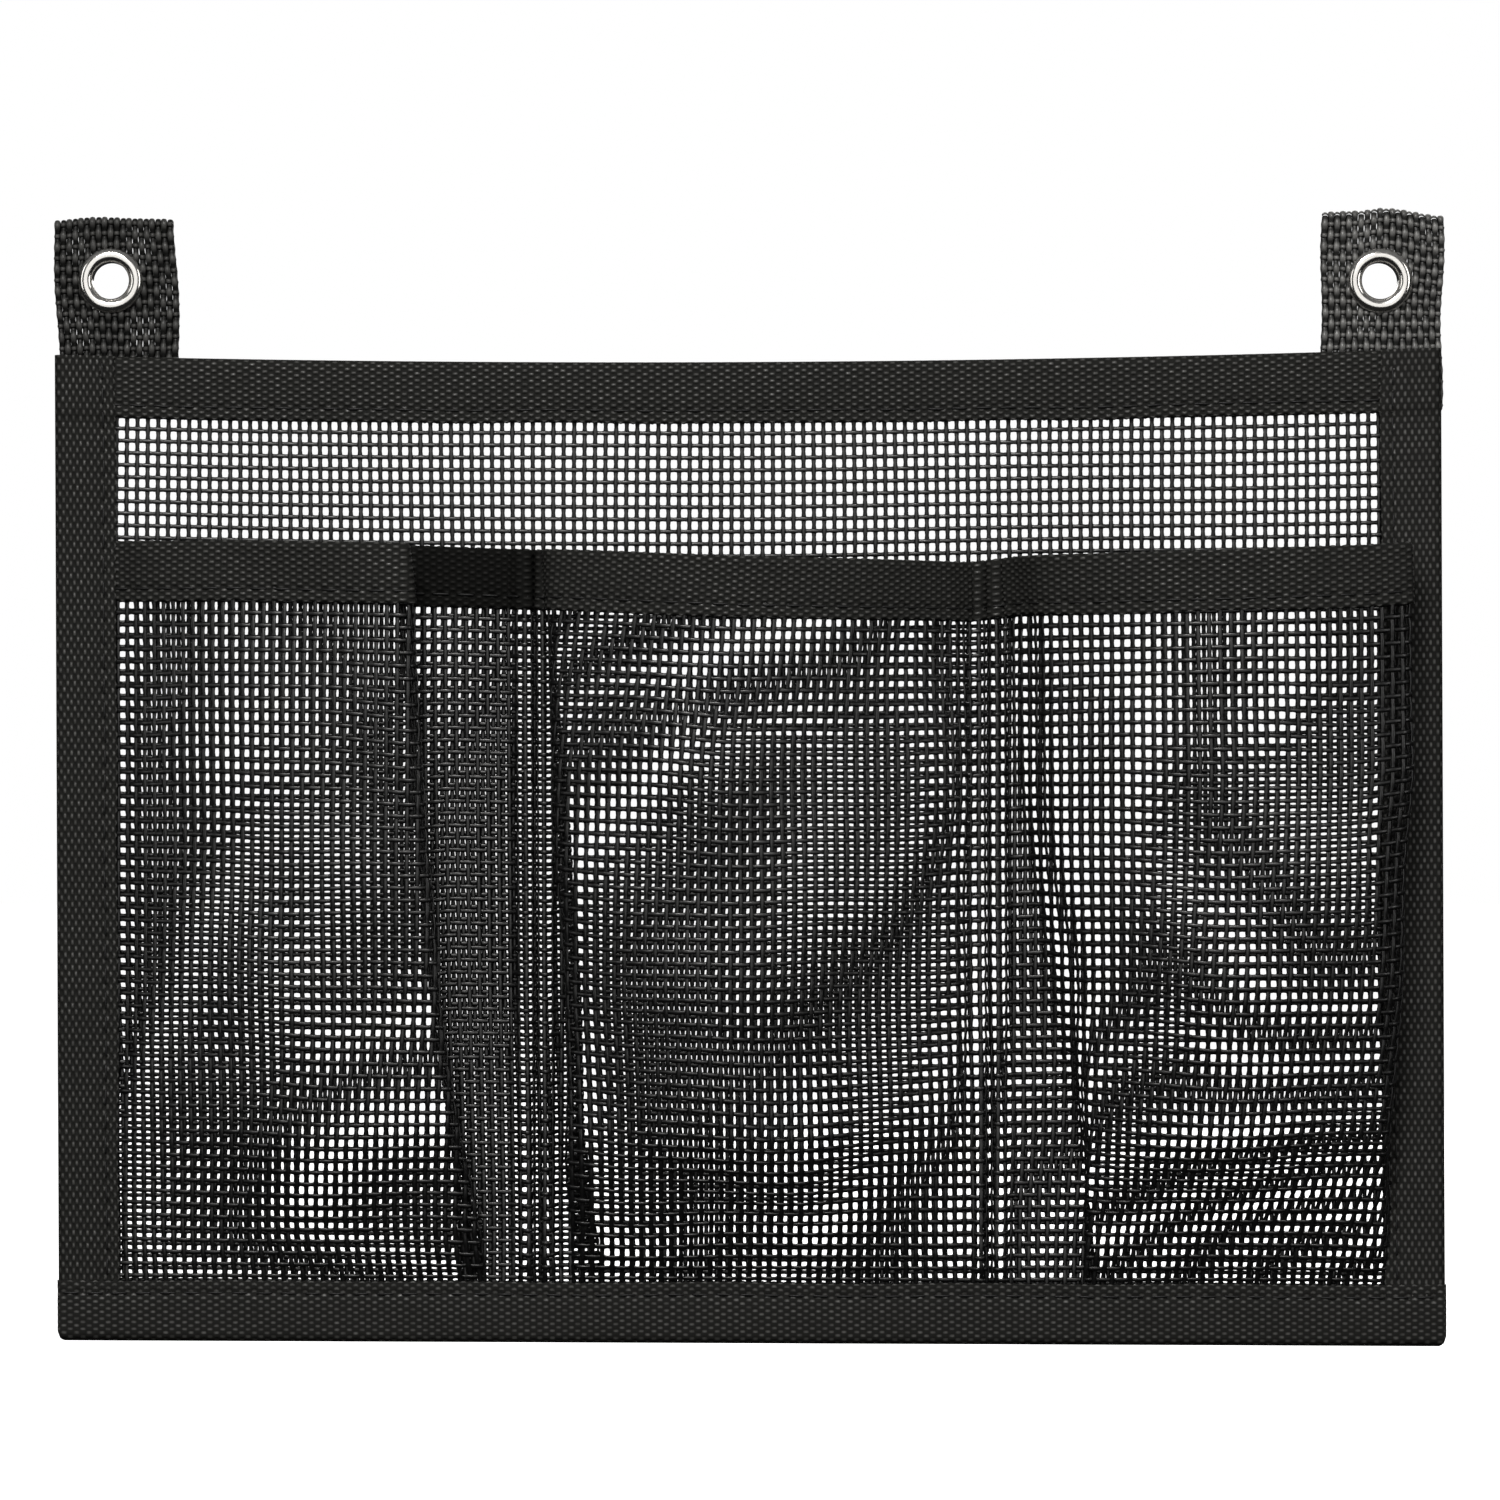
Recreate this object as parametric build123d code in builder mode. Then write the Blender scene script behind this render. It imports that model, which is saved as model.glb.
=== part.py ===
from build123d import *
import os

# Hanging mesh organizer: a bound mesh panel with three open pockets and two eyelet tabs.
# All sizes are in millimetres. +Z is up, +X runs across the width and the pockets face -Y.
# The origin is midway between the two eyelets, on the back face of their tabs, so Y = 0 is
# the wall that the organizer hangs against. The right tab is a little longer than the left.

# Panel
PANEL_WIDTH = 300.0
PANEL_HEIGHT = 214.0
PANEL_TOP = -15.5
PANEL_CENTRE_X = 1.0
PANEL_CORNER_RADIUS = 2.5
MESH_THICKNESS = 1.0
PLY_GAP = 0.1
MESH_EDGE_MARGIN = 1.0

# Tabs and eyelets
TAB_WIDTH = 27.0
TAB_PLY = 1.2
TAB_PLY_GAP = 0.3
TAB_TOPS = (13.6, 15.8)
TAB_TAIL_LENGTH = 12.5
TAB_FOLD_FLAT = 0.02
FLEX_LENGTH = 4.0
EYELET_SPACING = 274.4
EYELET_HOLE_RADIUS = 4.0
EYELET_WALL = 0.4
EYELET_FLANGE_RADIUS = 7.0
EYELET_CLEARANCE = 0.1
EYELET_SEAT = 0.05
FLANGE_EDGE = 0.3
FLANGE_CROWN = 1.3
BORE_EDGE = 0.5
ROLL_WIDTH = 1.0
ROLL_INNER_HEIGHT = 0.15
ROLL_HEIGHT = 0.55
WASHER_THICKNESS = 0.45

# Binding tape, folded over every edge
BINDING_WIDTH = 13.0
TAPE_THICKNESS = 0.7
BINDING_FOLD_RADIUS = 1.5

# Sewing thread
STITCH_INSET = 2.6
THREAD_WIDTH = 0.5
THREAD_DEPTH = 0.3
THREAD_CLEARANCE = 0.03
TAB_SEAM_WIDTH = 10.0
TAB_SEAM_INSETS = (3.0, 7.5)
DIVIDER_THREAD_START = 0.5

# Pocket strip
HEM_TOP = -58.0
HEM_HEIGHT = 12.7
WAIST_HEIGHT_ABOVE_FOOT = 30.0
WAIST_DEPTH_SHARE = 0.9
FOOT_DEPTH = 3.5
FOOT_BOW = 0.5
FOOT_FLOOR = 1.5
FOOT_CLEARANCE = 0.3
DIVIDERS = (-45.4, 52.4)
VALLEY_BITE = 0.2

# Reach of the tool bodies beyond the faces that they cut or trim
OVERCUT = 1.0
TRIM_BEHIND = 5.0
TRIM_AHEAD = 10.0

# Worked out from the sizes above
PANEL_LEFT = PANEL_CENTRE_X - PANEL_WIDTH / 2
PANEL_RIGHT = PANEL_CENTRE_X + PANEL_WIDTH / 2
PANEL_BOTTOM = PANEL_TOP - PANEL_HEIGHT
TAB_THICKNESS = 2 * TAB_PLY + TAB_PLY_GAP
SLOT_DEPTH = 2 * MESH_THICKNESS + 3 * PLY_GAP
BINDING_THICKNESS = SLOT_DEPTH + 2 * TAPE_THICKNESS
BINDING_BACK = -TAB_THICKNESS - PLY_GAP
BINDING_FRONT = BINDING_BACK - BINDING_THICKNESS
BINDING_MIDDLE = (BINDING_BACK + BINDING_FRONT) / 2
BACK_MESH_BACK = BINDING_BACK - TAPE_THICKNESS - PLY_GAP
BACK_MESH_FRONT = BACK_MESH_BACK - MESH_THICKNESS
POCKET_BACK = BACK_MESH_FRONT - PLY_GAP
POCKET_FLANGE_FRONT = POCKET_BACK - MESH_THICKNESS
HINGE_HEIGHT = PANEL_TOP + FLEX_LENGTH / 2
FLAP_BOTTOM = PANEL_TOP + FLEX_LENGTH
SIDE_BINDING_BOTTOM = PANEL_BOTTOM + BINDING_WIDTH
FOOT_HEIGHT = SIDE_BINDING_BOTTOM + FOOT_CLEARANCE
HEM_BOTTOM = HEM_TOP - HEM_HEIGHT
POCKET_TOP = HEM_TOP - TAPE_THICKNESS - PLY_GAP
THREAD_GROOVE_WIDTH = THREAD_WIDTH + 2 * THREAD_CLEARANCE
THREAD_GROOVE_DEPTH = THREAD_DEPTH + THREAD_CLEARANCE
STITCH_LINE = BINDING_WIDTH - STITCH_INSET
SIDE_LENGTH = PANEL_TOP - SIDE_BINDING_BOTTOM
TOP_LENGTH = PANEL_WIDTH - 2 * BINDING_WIDTH
HEM_OUTSIDE = PLY_GAP + TAPE_THICKNESS
HEM_INSIDE = -MESH_THICKNESS - PLY_GAP - TAPE_THICKNESS
HEM_END_FACE = BINDING_FRONT - PLY_GAP
HEM_STITCH_HEIGHT = HEM_BOTTOM + STITCH_INSET
VALLEY_DEPTH = POCKET_BACK - HEM_END_FACE
TAB_CENTRES = (PANEL_LEFT + TAB_WIDTH / 2, PANEL_RIGHT - TAB_WIDTH / 2)
TAB_SEAM_HEIGHTS = [PANEL_TOP - inset for inset in TAB_SEAM_INSETS]
EYELET_CENTRES = (-EYELET_SPACING / 2, EYELET_SPACING / 2)


class Pocket:
    """One bay of the pleated strip, standing forward between two lines where it leaves the panel.

    A base is the x where a side wall leaves the flat strip, and a fold is the (x, depth) of the
    wall's front edge, both at the mouth. The depth is measured forward from the flat strip. Each
    side drifts across towards the foot, where the pleats are pressed almost flat.
    """

    def __init__(self, bases, left_fold, crown, right_fold, drifts):
        self.left_base, self.right_base = bases
        self.left_fold = left_fold
        self.crown = crown
        self.right_fold = right_fold
        self.left_drift, self.right_drift = drifts


LEFT_POCKET = Pocket((-135.0, -68.5), (-131.0, 2.6), (-101.0, 11.5), (-71.6, 15.0), (0.0, 16.0))
MIDDLE_POCKET = Pocket((-42.6, 49.6), (-39.8, 12.0), (1.0, 22.0), (45.5, 6.5), (5.0, 0.0))
RIGHT_POCKET = Pocket((54.6, 137.0), (63.0, 12.0), (103.0, 22.0), (142.0, 16.0), (7.0, -4.5))
POCKETS = (LEFT_POCKET, MIDDLE_POCKET, RIGHT_POCKET)


def pocket_section(pocket, height, depth_share, drift_share, grow=0.0, flat_depth=None):
    """The closed outline of a pocket bay at one height, grown or shrunk by an offset."""

    def fold_point(fold, drift):
        x, depth = fold
        depth = flat_depth if flat_depth else depth * depth_share
        return (x + drift * drift_share, POCKET_BACK - depth)

    left_end = (pocket.left_base + pocket.left_drift * drift_share, POCKET_BACK + MESH_THICKNESS)
    right_end = (pocket.right_base + pocket.right_drift * drift_share, POCKET_BACK + MESH_THICKNESS)
    left_fold = fold_point(pocket.left_fold, pocket.left_drift)
    right_fold = fold_point(pocket.right_fold, pocket.right_drift)
    crown_drift = (pocket.left_drift + pocket.right_drift) / 2
    crown = fold_point(pocket.crown, crown_drift)
    if flat_depth:
        crown = (crown[0], crown[1] - FOOT_BOW)
    with BuildSketch(Plane.XY.offset(height)) as section:
        with BuildLine():
            Line(left_end, left_fold)
            ThreePointArc(left_fold, crown, right_fold)
            Line(right_fold, right_end)
            Line(right_end, left_end)
        make_face()
        if grow:
            offset(amount=grow, kind=Kind.INTERSECTION)
    return section.sketch


def pocket_body(pocket, grow, foot_height, top_height):
    """The solid of a pocket bay: straight under the hem, bellied, then in to a flat foot."""
    waist_height = FOOT_HEIGHT + WAIST_HEIGHT_ABOVE_FOOT
    foot = pocket_section(pocket, foot_height, 1.0, 1.0, grow, FOOT_DEPTH)
    waist = pocket_section(pocket, waist_height, WAIST_DEPTH_SHARE, 0.5, grow)
    mouth = pocket_section(pocket, HEM_BOTTOM, 1.0, 0.0, grow)
    with BuildPart() as body:
        loft(sections=[foot, waist], ruled=True)
        loft(sections=[waist, mouth], ruled=True)
        extrude(mouth, amount=top_height - HEM_BOTTOM)
    return body.part


def mouth_band(pocket, outer, inner, low, high):
    """A band that follows a pocket's mouth between two offsets of its outline."""
    with BuildPart() as band:
        extrude(pocket_section(pocket, low, 1.0, 0.0, outer), amount=high - low)
        extrude(pocket_section(pocket, low, 1.0, 0.0, inner), amount=high - low, mode=Mode.SUBTRACT)
    return band.part


def box_between(low, high, mode=Mode.ADD):
    """A box between two corners, added to or taken from the part being built."""
    size = [high[i] - low[i] for i in range(3)]
    middle = [(high[i] + low[i]) / 2 for i in range(3)]
    with Locations(tuple(middle)):
        Box(*size, mode=mode)


def write(part, label):
    """Name a finished piece and save it."""
    part.label = label
    export_step(part, f"parts/{label}.step")


os.makedirs("parts", exist_ok=True)

# ---------------------------------------------------------------- back mesh panel
with BuildPart() as back_mesh_panel:
    with BuildSketch(Plane.XZ.offset(-BACK_MESH_BACK)):
        with Locations((PANEL_CENTRE_X, (PANEL_TOP + PANEL_BOTTOM) / 2)):
            RectangleRounded(
                PANEL_WIDTH - 2 * MESH_EDGE_MARGIN,
                PANEL_HEIGHT - 2 * MESH_EDGE_MARGIN,
                PANEL_CORNER_RADIUS,
            )
    extrude(amount=MESH_THICKNESS)
write(back_mesh_panel.part, "back_mesh_panel")

# ---------------------------------------------------------------- pocket strip
with BuildPart() as pocket_mesh:
    box_between(
        (PANEL_LEFT + MESH_EDGE_MARGIN, POCKET_FLANGE_FRONT, PANEL_BOTTOM + MESH_EDGE_MARGIN),
        (PANEL_RIGHT - MESH_EDGE_MARGIN, POCKET_BACK, POCKET_TOP),
    )
    for pocket in POCKETS:
        add(pocket_body(pocket, 0.0, FOOT_HEIGHT, POCKET_TOP))
    for pocket in POCKETS:
        inside = pocket_body(pocket, -MESH_THICKNESS, FOOT_HEIGHT + FOOT_FLOOR, POCKET_TOP + OVERCUT)
        add(inside, mode=Mode.SUBTRACT)
    box_between(
        (PANEL_LEFT, POCKET_BACK, PANEL_BOTTOM),
        (PANEL_RIGHT, POCKET_BACK + 2 * MESH_THICKNESS, PANEL_TOP),
        mode=Mode.SUBTRACT,
    )
write(pocket_mesh.part, "pocket_mesh")

# ---------------------------------------------------------------- pocket hem tape and its thread
def wall_x(base_x, fold):
    """Where a pocket's side wall meets the back of the tape that bridges a divider seam."""
    fold_x, fold_depth = fold
    share = (VALLEY_DEPTH + MESH_THICKNESS) / (fold_depth + MESH_THICKNESS)
    return base_x + (fold_x - base_x) * share


with BuildPart() as pocket_hem_tape:
    for pocket in POCKETS:
        add(mouth_band(pocket, HEM_OUTSIDE, HEM_INSIDE, HEM_BOTTOM, HEM_TOP))
        slot_inside = -MESH_THICKNESS - PLY_GAP
        slot = mouth_band(pocket, PLY_GAP, slot_inside, HEM_BOTTOM, POCKET_TOP + PLY_GAP)
        add(slot, mode=Mode.SUBTRACT)
    box_between(
        (PANEL_LEFT, HEM_END_FACE, HEM_BOTTOM - OVERCUT),
        (PANEL_RIGHT, 0.0, HEM_TOP + OVERCUT),
        mode=Mode.SUBTRACT,
    )
    for pocket, next_pocket in zip(POCKETS, POCKETS[1:]):
        valley_left = wall_x(pocket.right_base, pocket.right_fold) + VALLEY_BITE
        valley_right = wall_x(next_pocket.left_base, next_pocket.left_fold) - VALLEY_BITE
        box_between(
            (valley_left, HEM_END_FACE - TAPE_THICKNESS, HEM_BOTTOM),
            (valley_right, HEM_END_FACE, HEM_TOP),
        )
    for pocket in POCKETS:
        groove = mouth_band(
            pocket,
            HEM_OUTSIDE + OVERCUT,
            HEM_OUTSIDE - THREAD_GROOVE_DEPTH,
            HEM_STITCH_HEIGHT - THREAD_CLEARANCE,
            HEM_STITCH_HEIGHT + THREAD_WIDTH + THREAD_CLEARANCE,
        )
        add(groove, mode=Mode.SUBTRACT)
write(pocket_hem_tape.part, "pocket_hem_tape")

with BuildPart() as hem_thread:
    for pocket in POCKETS:
        line = mouth_band(
            pocket,
            HEM_OUTSIDE,
            HEM_OUTSIDE - THREAD_DEPTH,
            HEM_STITCH_HEIGHT,
            HEM_STITCH_HEIGHT + THREAD_WIDTH,
        )
        add(line)
    box_between(
        (PANEL_LEFT, HEM_END_FACE - TAPE_THICKNESS, HEM_BOTTOM),
        (PANEL_RIGHT + OVERCUT, 0.0, HEM_TOP),
        mode=Mode.SUBTRACT,
    )
write(hem_thread.part, "pocket_hem_stitching")

# ---------------------------------------------------------------- edge bindings and their threads
# Each binding's plane has its x from the fold to the free edge, and its y through the thickness.
BINDINGS = {
    "left": (
        Plane((PANEL_LEFT, BINDING_MIDDLE, SIDE_BINDING_BOTTOM), x_dir=(1, 0, 0), z_dir=(0, 0, 1)),
        SIDE_LENGTH,
    ),
    "right": (
        Plane((PANEL_RIGHT, BINDING_MIDDLE, SIDE_BINDING_BOTTOM), x_dir=(-1, 0, 0), z_dir=(0, 0, 1)),
        SIDE_LENGTH,
    ),
    "top": (
        Plane(
            (PANEL_LEFT + BINDING_WIDTH, BINDING_MIDDLE, PANEL_TOP),
            x_dir=(0, 0, -1),
            z_dir=(1, 0, 0),
        ),
        TOP_LENGTH,
    ),
    "bottom": (
        Plane((PANEL_LEFT, BINDING_MIDDLE, PANEL_BOTTOM), x_dir=(0, 0, 1), z_dir=(1, 0, 0)),
        PANEL_WIDTH,
    ),
}


def panel_outline():
    """A thick slab with the panel's rounded outline, to trim the bindings' corners."""
    with BuildPart() as slab:
        with BuildSketch(Plane.XZ.offset(-TRIM_BEHIND)):
            with Locations((PANEL_CENTRE_X, (PANEL_TOP + PANEL_BOTTOM) / 2)):
                RectangleRounded(PANEL_WIDTH, PANEL_HEIGHT, PANEL_CORNER_RADIUS)
        extrude(amount=TRIM_BEHIND - BINDING_FRONT + TRIM_AHEAD)
    return slab.part


def tab_seam(side_x, front_face, thread_x, thread_z, depth):
    """Two short rows of thread across a tab, sunk into the face at front_face."""
    with BuildPart() as rows:
        for row_height in TAB_SEAM_HEIGHTS:
            with Locations((side_x, front_face, row_height)):
                Box(thread_x, 2 * depth, thread_z)
    return rows.part


for side, (plane, length) in BINDINGS.items():
    with BuildPart() as binding:
        with BuildSketch(plane) as profile:
            with Locations((BINDING_WIDTH / 2, 0)):
                Rectangle(BINDING_WIDTH, BINDING_THICKNESS)
            fold_corners = profile.vertices().sort_by(Axis.X)[:2]
            fillet(fold_corners, BINDING_FOLD_RADIUS)
            with Locations((TAPE_THICKNESS + BINDING_WIDTH / 2, 0)):
                Rectangle(BINDING_WIDTH, SLOT_DEPTH, mode=Mode.SUBTRACT)
            half_thickness = BINDING_THICKNESS / 2
            with Locations((STITCH_LINE, half_thickness), (STITCH_LINE, -half_thickness)):
                Rectangle(THREAD_GROOVE_WIDTH, 2 * THREAD_GROOVE_DEPTH, mode=Mode.SUBTRACT)
        extrude(amount=length)
        add(panel_outline(), mode=Mode.INTERSECT)
    write(binding.part, f"{side}_binding")

    with BuildPart() as binding_thread:
        with BuildSketch(plane):
            thread_middle = BINDING_THICKNESS / 2 - THREAD_DEPTH / 2
            with Locations((STITCH_LINE, thread_middle), (STITCH_LINE, -thread_middle)):
                Rectangle(THREAD_WIDTH, THREAD_DEPTH)
        extrude(amount=length)
    write(binding_thread.part, f"{side}_binding_stitching")

# ---------------------------------------------------------------- divider threads
for name, divider in zip(("left", "right"), DIVIDERS):
    with BuildPart() as divider_thread:
        thread_low = SIDE_BINDING_BOTTOM + DIVIDER_THREAD_START
        box_between(
            (divider - THREAD_WIDTH / 2, POCKET_FLANGE_FRONT - THREAD_DEPTH, thread_low),
            (divider + THREAD_WIDTH / 2, POCKET_FLANGE_FRONT, POCKET_TOP),
        )
        box_between(
            (divider - THREAD_WIDTH / 2, BACK_MESH_BACK, thread_low),
            (divider + THREAD_WIDTH / 2, BACK_MESH_BACK + THREAD_DEPTH, POCKET_TOP),
        )
    write(divider_thread.part, f"{name}_divider_stitching")

# ---------------------------------------------------------------- tabs, eyelets and tab seams
for side, tab_x, tab_top, eyelet_x in zip(("left", "right"), TAB_CENTRES, TAB_TOPS, EYELET_CENTRES):
    flap_height = tab_top - FLAP_BOTTOM
    with BuildPart() as flap:
        with BuildSketch(Plane.YZ.offset(tab_x - TAB_WIDTH / 2)) as flap_profile:
            with Locations((-TAB_THICKNESS / 2, FLAP_BOTTOM + flap_height / 2)):
                Rectangle(TAB_THICKNESS, flap_height)
            top_corners = flap_profile.vertices().sort_by(Axis.Y)[-2:]
            fillet(top_corners, (TAB_THICKNESS - TAB_FOLD_FLAT) / 2)
            with Locations((-TAB_THICKNESS / 2, FLAP_BOTTOM + (flap_height - TAB_PLY) / 2)):
                Rectangle(TAB_PLY_GAP, flap_height - TAB_PLY, mode=Mode.SUBTRACT)
        extrude(amount=TAB_WIDTH)
        with BuildSketch(Plane.XZ):
            with Locations((eyelet_x, 0)):
                Circle(EYELET_HOLE_RADIUS + EYELET_WALL + EYELET_CLEARANCE)
        extrude(amount=TAB_THICKNESS, mode=Mode.SUBTRACT)
    write(flap.part, f"{side}_tab_flap")

    with BuildPart() as tail:
        for ply_back in (0.0, -TAB_PLY - TAB_PLY_GAP):
            box_between(
                (tab_x - TAB_WIDTH / 2, ply_back - TAB_PLY, PANEL_TOP - TAB_TAIL_LENGTH),
                (tab_x + TAB_WIDTH / 2, ply_back, PANEL_TOP),
            )
        groove_width = TAB_SEAM_WIDTH + 2 * THREAD_CLEARANCE
        add(
            tab_seam(tab_x, 0.0, groove_width, THREAD_GROOVE_WIDTH, THREAD_GROOVE_DEPTH),
            mode=Mode.SUBTRACT,
        )
    write(tail.part, f"{side}_tab_tail")

    with BuildPart() as tab_thread:
        add(tab_seam(tab_x, -THREAD_DEPTH / 2, TAB_SEAM_WIDTH, THREAD_WIDTH, THREAD_DEPTH / 2))
    write(tab_thread.part, f"{side}_tab_stitching")

    with BuildPart() as eyelet:
        bore_x = eyelet_x + EYELET_HOLE_RADIUS
        barrel_x = bore_x + EYELET_WALL
        roll_x = barrel_x + ROLL_WIDTH
        flange_x = eyelet_x + EYELET_FLANGE_RADIUS
        tab_front = -TAB_THICKNESS - EYELET_SEAT
        washer_back = WASHER_THICKNESS + 2 * EYELET_SEAT
        with BuildSketch(Plane.XY):
            with BuildLine():
                Line((bore_x, washer_back + ROLL_INNER_HEIGHT), (bore_x, tab_front - BORE_EDGE))
                ThreePointArc(
                    (bore_x, tab_front - BORE_EDGE),
                    (bore_x + FLANGE_CROWN, tab_front - FLANGE_CROWN),
                    (flange_x, tab_front - FLANGE_EDGE),
                )
                Line((flange_x, tab_front - FLANGE_EDGE), (flange_x, tab_front))
                Line((flange_x, tab_front), (barrel_x, tab_front))
                Line((barrel_x, tab_front), (barrel_x, washer_back))
                Line((barrel_x, washer_back), (roll_x, washer_back))
                ThreePointArc(
                    (roll_x, washer_back),
                    ((bore_x + roll_x) / 2, washer_back + ROLL_HEIGHT),
                    (bore_x, washer_back + ROLL_INNER_HEIGHT),
                )
            make_face()
        revolve(axis=Axis((eyelet_x, 0, 0), (0, 1, 0)))
    write(eyelet.part, f"{side}_eyelet")

    with BuildPart() as washer:
        with BuildSketch(Plane.XZ.offset(-EYELET_SEAT - WASHER_THICKNESS)):
            with Locations((eyelet_x, 0)):
                Circle(EYELET_FLANGE_RADIUS)
                Circle(EYELET_HOLE_RADIUS + EYELET_WALL + EYELET_CLEARANCE, mode=Mode.SUBTRACT)
        extrude(amount=WASHER_THICKNESS)
        back_rims = washer.edges().filter_by(GeomType.CIRCLE).sort_by(Axis.Y)[-2:]
        fillet(back_rims.sort_by(SortBy.RADIUS)[-1], WASHER_THICKNESS / 2)
    write(washer.part, f"{side}_eyelet_washer")
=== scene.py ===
import math

import bpy
import numpy as np
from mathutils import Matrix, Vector


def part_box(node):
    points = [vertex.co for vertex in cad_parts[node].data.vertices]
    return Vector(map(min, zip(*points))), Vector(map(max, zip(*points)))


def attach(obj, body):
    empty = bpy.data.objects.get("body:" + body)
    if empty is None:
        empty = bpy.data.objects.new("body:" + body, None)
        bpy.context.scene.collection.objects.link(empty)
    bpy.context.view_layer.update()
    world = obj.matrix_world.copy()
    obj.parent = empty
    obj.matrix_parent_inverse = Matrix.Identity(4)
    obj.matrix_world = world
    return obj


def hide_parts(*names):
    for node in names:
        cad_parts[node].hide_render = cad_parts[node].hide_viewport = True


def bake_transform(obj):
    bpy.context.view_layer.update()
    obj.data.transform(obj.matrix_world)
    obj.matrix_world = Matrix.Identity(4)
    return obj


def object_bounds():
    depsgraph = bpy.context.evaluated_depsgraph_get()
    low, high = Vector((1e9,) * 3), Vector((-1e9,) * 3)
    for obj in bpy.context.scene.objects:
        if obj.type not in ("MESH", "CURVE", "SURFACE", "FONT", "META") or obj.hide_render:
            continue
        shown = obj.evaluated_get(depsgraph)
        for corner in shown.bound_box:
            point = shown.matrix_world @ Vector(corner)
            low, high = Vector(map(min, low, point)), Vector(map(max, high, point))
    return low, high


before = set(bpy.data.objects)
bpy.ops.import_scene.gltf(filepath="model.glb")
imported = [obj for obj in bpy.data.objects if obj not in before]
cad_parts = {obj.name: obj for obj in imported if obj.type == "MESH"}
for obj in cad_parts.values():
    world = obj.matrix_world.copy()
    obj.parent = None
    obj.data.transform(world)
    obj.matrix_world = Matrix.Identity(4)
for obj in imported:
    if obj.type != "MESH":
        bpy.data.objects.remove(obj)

# A hanging mesh organizer: a bound panel of woven mesh, a pleated mesh strip that makes three open
# pockets, taped edges, and two webbing tabs with eyelets. Lengths are in metres, in the CAD frame:
# +Z is up, the pockets face -Y and Y = 0 is the wall.

MM = 0.001
rng = np.random.default_rng(7)
cad_low, cad_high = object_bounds()

# ---------------------------------------------------------------- places read from the frame
PANEL_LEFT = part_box("left_binding")[0].x
PANEL_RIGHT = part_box("right_binding")[1].x
PANEL_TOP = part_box("top_binding")[1].z
PANEL_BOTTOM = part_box("bottom_binding")[0].z
PANEL_MIDDLE = (PANEL_LEFT + PANEL_RIGHT) / 2
PANEL_HALF_WIDTH = (PANEL_RIGHT - PANEL_LEFT) / 2
BINDING_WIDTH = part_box("top_binding")[1].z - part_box("top_binding")[0].z
BINDING_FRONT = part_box("top_binding")[0].y
BINDING_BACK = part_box("top_binding")[1].y
MESH_LOW, MESH_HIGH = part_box("back_mesh_panel")
MESH_PLANE = (MESH_LOW.y + MESH_HIGH.y) / 2
STRIP_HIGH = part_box("pocket_mesh")[1]
STRIP_PLANE = STRIP_HIGH.y - (MESH_HIGH.y - MESH_LOW.y) / 2
HEM_LOW, HEM_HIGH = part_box("pocket_hem_tape")
HEM_WIDTH = HEM_HIGH.z - HEM_LOW.z
FOOT_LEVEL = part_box("bottom_binding")[1].z
DIVIDERS = [
    sum(corner.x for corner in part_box(f"{side}_divider_stitching")) / 2 for side in ("left", "right")
]


# ---------------------------------------------------------------- mesh helpers
def new_object(name, points, quads, material):
    """A mesh object with smooth shading, from points and four-cornered faces."""
    points = np.asarray(points, np.float32).reshape(-1, 3)
    quads = np.asarray(quads, np.int32).reshape(-1, 4)
    mesh = bpy.data.meshes.new(name)
    mesh.vertices.add(len(points))
    mesh.vertices.foreach_set("co", points.ravel())
    mesh.loops.add(quads.size)
    mesh.loops.foreach_set("vertex_index", quads.ravel())
    mesh.polygons.add(len(quads))
    mesh.polygons.foreach_set("loop_start", np.arange(0, quads.size, 4, dtype=np.int32))
    mesh.update(calc_edges=True)
    mesh.validate()
    mesh.shade_smooth()
    mesh.materials.append(material)
    made = bpy.data.objects.new(name, mesh)
    bpy.context.scene.collection.objects.link(made)
    return made


def unit(vectors):
    """Vectors scaled to length one."""
    return vectors / np.maximum(np.linalg.norm(vectors, axis=-1, keepdims=True), 1e-12)


def smoothstep(low, high, value):
    """0 below low, 1 above high and smooth between."""
    share = np.clip((value - low) / (high - low), 0, 1)
    return share * share * (3 - 2 * share)


def blurred(rows, sigma, axis):
    """Gaussian smoothing along one axis of an array, with its two ends held. Sigma is in samples."""
    reach = max(1, int(3 * sigma))
    weights = np.exp(-0.5 * (np.arange(-reach, reach + 1) / sigma) ** 2)
    weights /= weights.sum()
    rows = np.moveaxis(rows, axis, 0)
    first = 2 * rows[:1] - rows[reach:0:-1]
    last = 2 * rows[-1:] - rows[-2 : -reach - 2 : -1]
    padded = np.concatenate([first, rows, last])
    made = sum(weight * padded[k : k + len(rows)] for k, weight in enumerate(weights))
    return np.moveaxis(made, 0, axis)


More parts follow.
